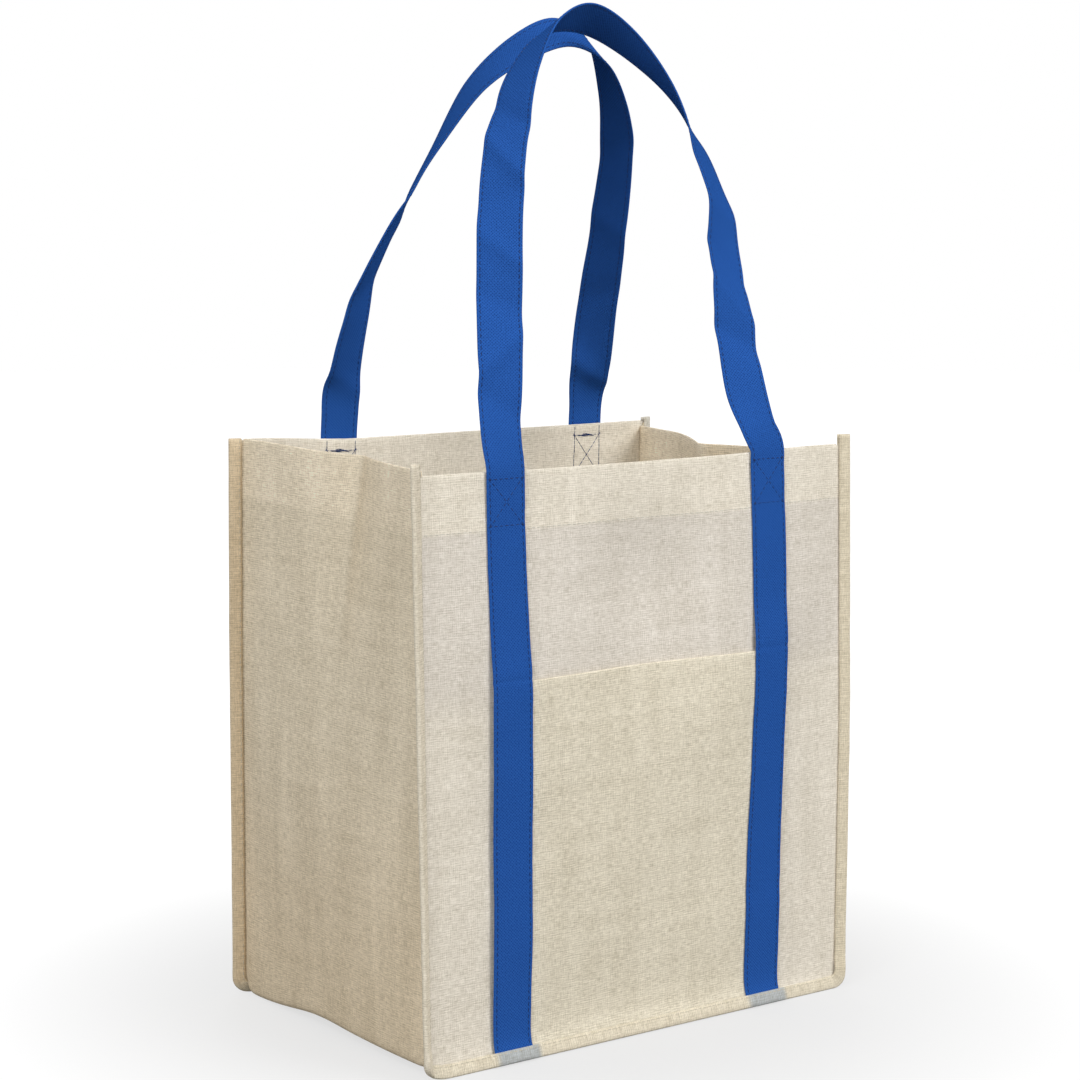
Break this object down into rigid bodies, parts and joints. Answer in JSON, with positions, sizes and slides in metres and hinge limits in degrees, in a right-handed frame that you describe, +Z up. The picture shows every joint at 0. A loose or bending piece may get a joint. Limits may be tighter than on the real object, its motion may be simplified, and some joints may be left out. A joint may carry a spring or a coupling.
{
  "type": "non-woven tote bag",
  "caption": "Open-topped box-shaped shopping tote in linen-look laminated cloth, with bound outside seams, a flat front pocket and long blue carrying straps.",
  "frame": {"origin": "on the ground under the middle of the bag", "axes": "+Z up, the front with the pocket faces -Y, +X to the right of someone who looks at the front"},
  "size_m": [0.3218, 0.2156, 0.5995],
  "materials": {
    "cloth": "cream linen-look print on laminated non-woven cloth",
    "binding_tape": "the same cloth cut as folded tape",
    "strap": "royal blue spunbond non-woven with a fine embossed dot",
    "board": "plain stiff sheet"
  },
  "bodies": {
    "root": {"front_panel": "cloth", "back_panel": "cloth", "gusset_strip": "cloth", "front_pocket": "cloth", "front_binding": "binding_tape", "back_binding": "binding_tape", "front_strap": "strap", "back_strap": "strap", "base_board": "board"}
  },
  "joints": []
}
